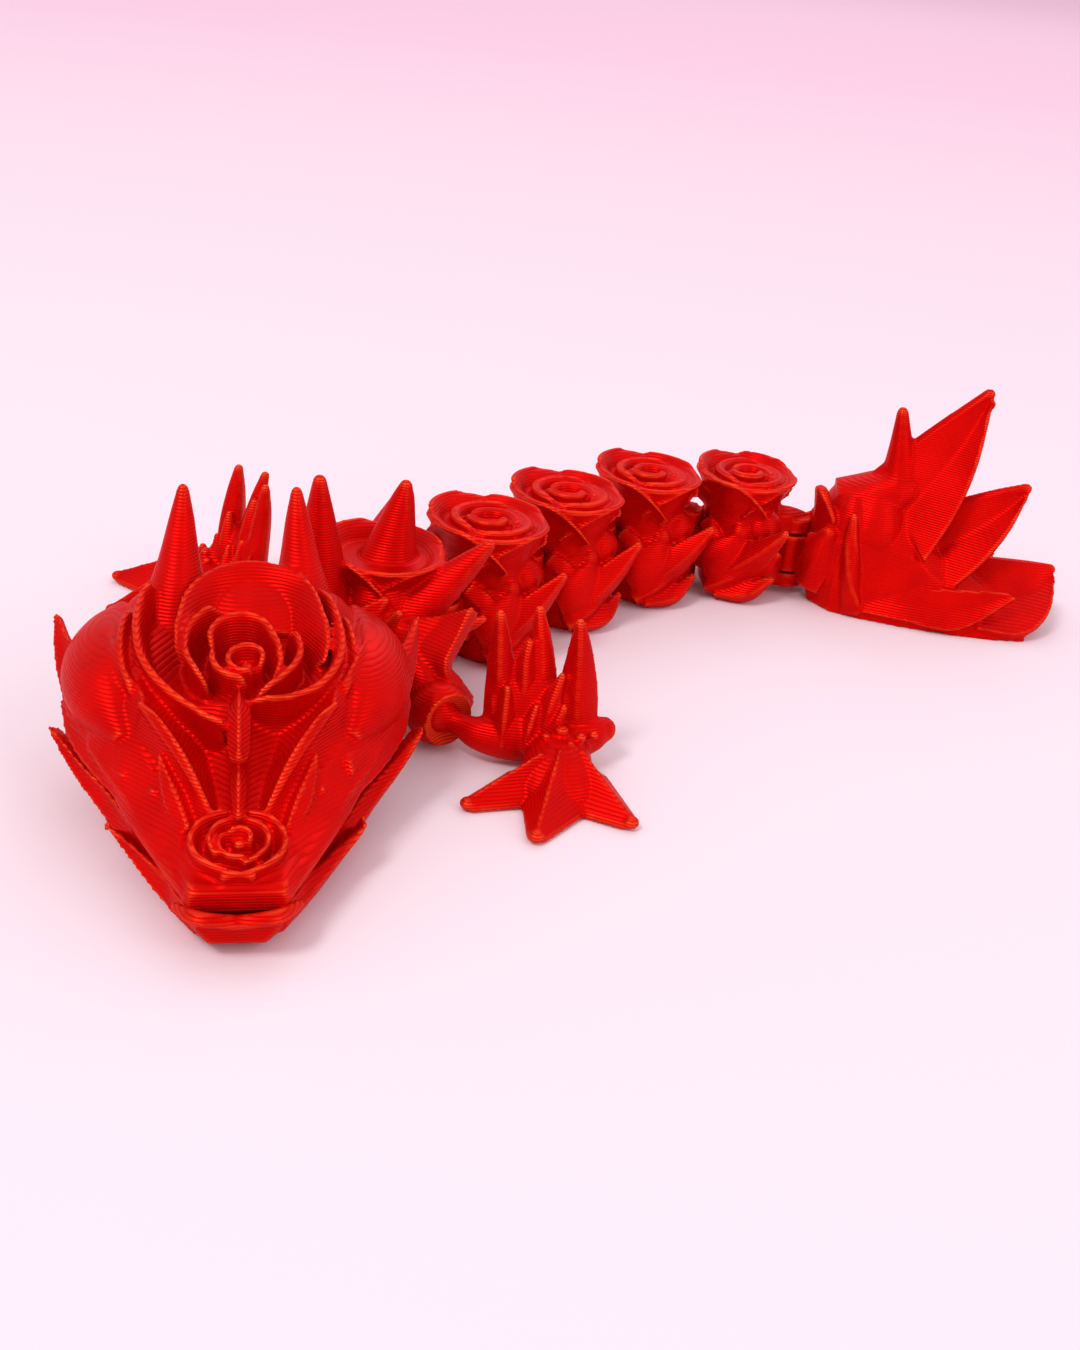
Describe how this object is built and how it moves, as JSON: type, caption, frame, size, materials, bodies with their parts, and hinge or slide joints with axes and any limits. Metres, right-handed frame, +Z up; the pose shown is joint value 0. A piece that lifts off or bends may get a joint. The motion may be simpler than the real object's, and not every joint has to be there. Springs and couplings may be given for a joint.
{
  "type": "articulated dragon toy",
  "caption": "Print-in-place articulated toy dragon with rose-topped body segments, a hinged jaw, ball-jointed front legs and a leafy tail.",
  "frame": {"origin": "on the surface the dragon lies on, under the middle of its bounding box as posed", "axes": "+Z up, +X along the curved body's longest extent from head to tail, +Y toward the back of the pose"},
  "size_m": [0.1212, 0.1012, 0.0295],
  "materials": {
    "silk_red_plastic": "silk PLA, glossy along the layer lines, fine horizontal layers about 0.28 mm high"
  },
  "bodies": {
    "chest": {"chest": "silk_red_plastic"},
    "head": {"head": "silk_red_plastic"},
    "lower_jaw": {"lower_jaw": "silk_red_plastic"},
    "left_leg": {"left_leg": "silk_red_plastic"},
    "right_leg": {"right_leg": "silk_red_plastic"},
    "body_segment_1": {"body_segment_1": "silk_red_plastic"},
    "body_segment_2": {"body_segment_2": "silk_red_plastic"},
    "body_segment_3": {"body_segment_3": "silk_red_plastic"},
    "body_segment_4": {"body_segment_4": "silk_red_plastic"},
    "tail": {"tail": "silk_red_plastic"}
  },
  "joints": [
    {"name": "neck_turn", "type": "hinge", "parent": "chest", "child": "head", "pos_m": [-0.03833, -0.00825, 0.0056], "axis": [0, 0, 1], "range_deg": [-55, 14]},
    {"name": "jaw_open", "type": "hinge", "parent": "head", "child": "lower_jaw", "pos_m": [-0.03562, -0.02086, 0.0037], "axis": [0.9776, 0.2105, 0], "range_deg": [0, 12]},
    {"name": "left_leg_swing", "type": "hinge", "parent": "chest", "child": "left_leg", "pos_m": [-0.01688, -0.01126, 0.0038], "axis": [0, 0, 1], "range_deg": [-36, 8]},
    {"name": "right_leg_swing", "type": "hinge", "parent": "chest", "child": "right_leg", "pos_m": [-0.03757, 0.01341, 0.0038], "axis": [0, 0, 1], "range_deg": [-48, 0]},
    {"name": "body_bend_1", "type": "hinge", "parent": "chest", "child": "body_segment_1", "pos_m": [-0.01888, 0.00808, 0.0056], "axis": [0, 0, 1], "range_deg": [-42, 24]},
    {"name": "body_bend_2", "type": "hinge", "parent": "body_segment_1", "child": "body_segment_2", "pos_m": [-0.01001, 0.01943, 0.0056], "axis": [0, 0, 1], "range_deg": [-38, 34]},
    {"name": "body_bend_3", "type": "hinge", "parent": "body_segment_2", "child": "body_segment_3", "pos_m": [-0.00131, 0.0314, 0.0056], "axis": [0, 0, 1], "range_deg": [-20, 46]},
    {"name": "body_bend_4", "type": "hinge", "parent": "body_segment_3", "child": "body_segment_4", "pos_m": [0.01035, 0.04051, 0.0056], "axis": [0, 0, 1], "range_deg": [-3, 58]},
    {"name": "tail_bend", "type": "hinge", "parent": "body_segment_4", "child": "tail", "pos_m": [0.0249, 0.04178, 0.0056], "axis": [0, 0, 1], "range_deg": [-28, 44]}
  ]
}
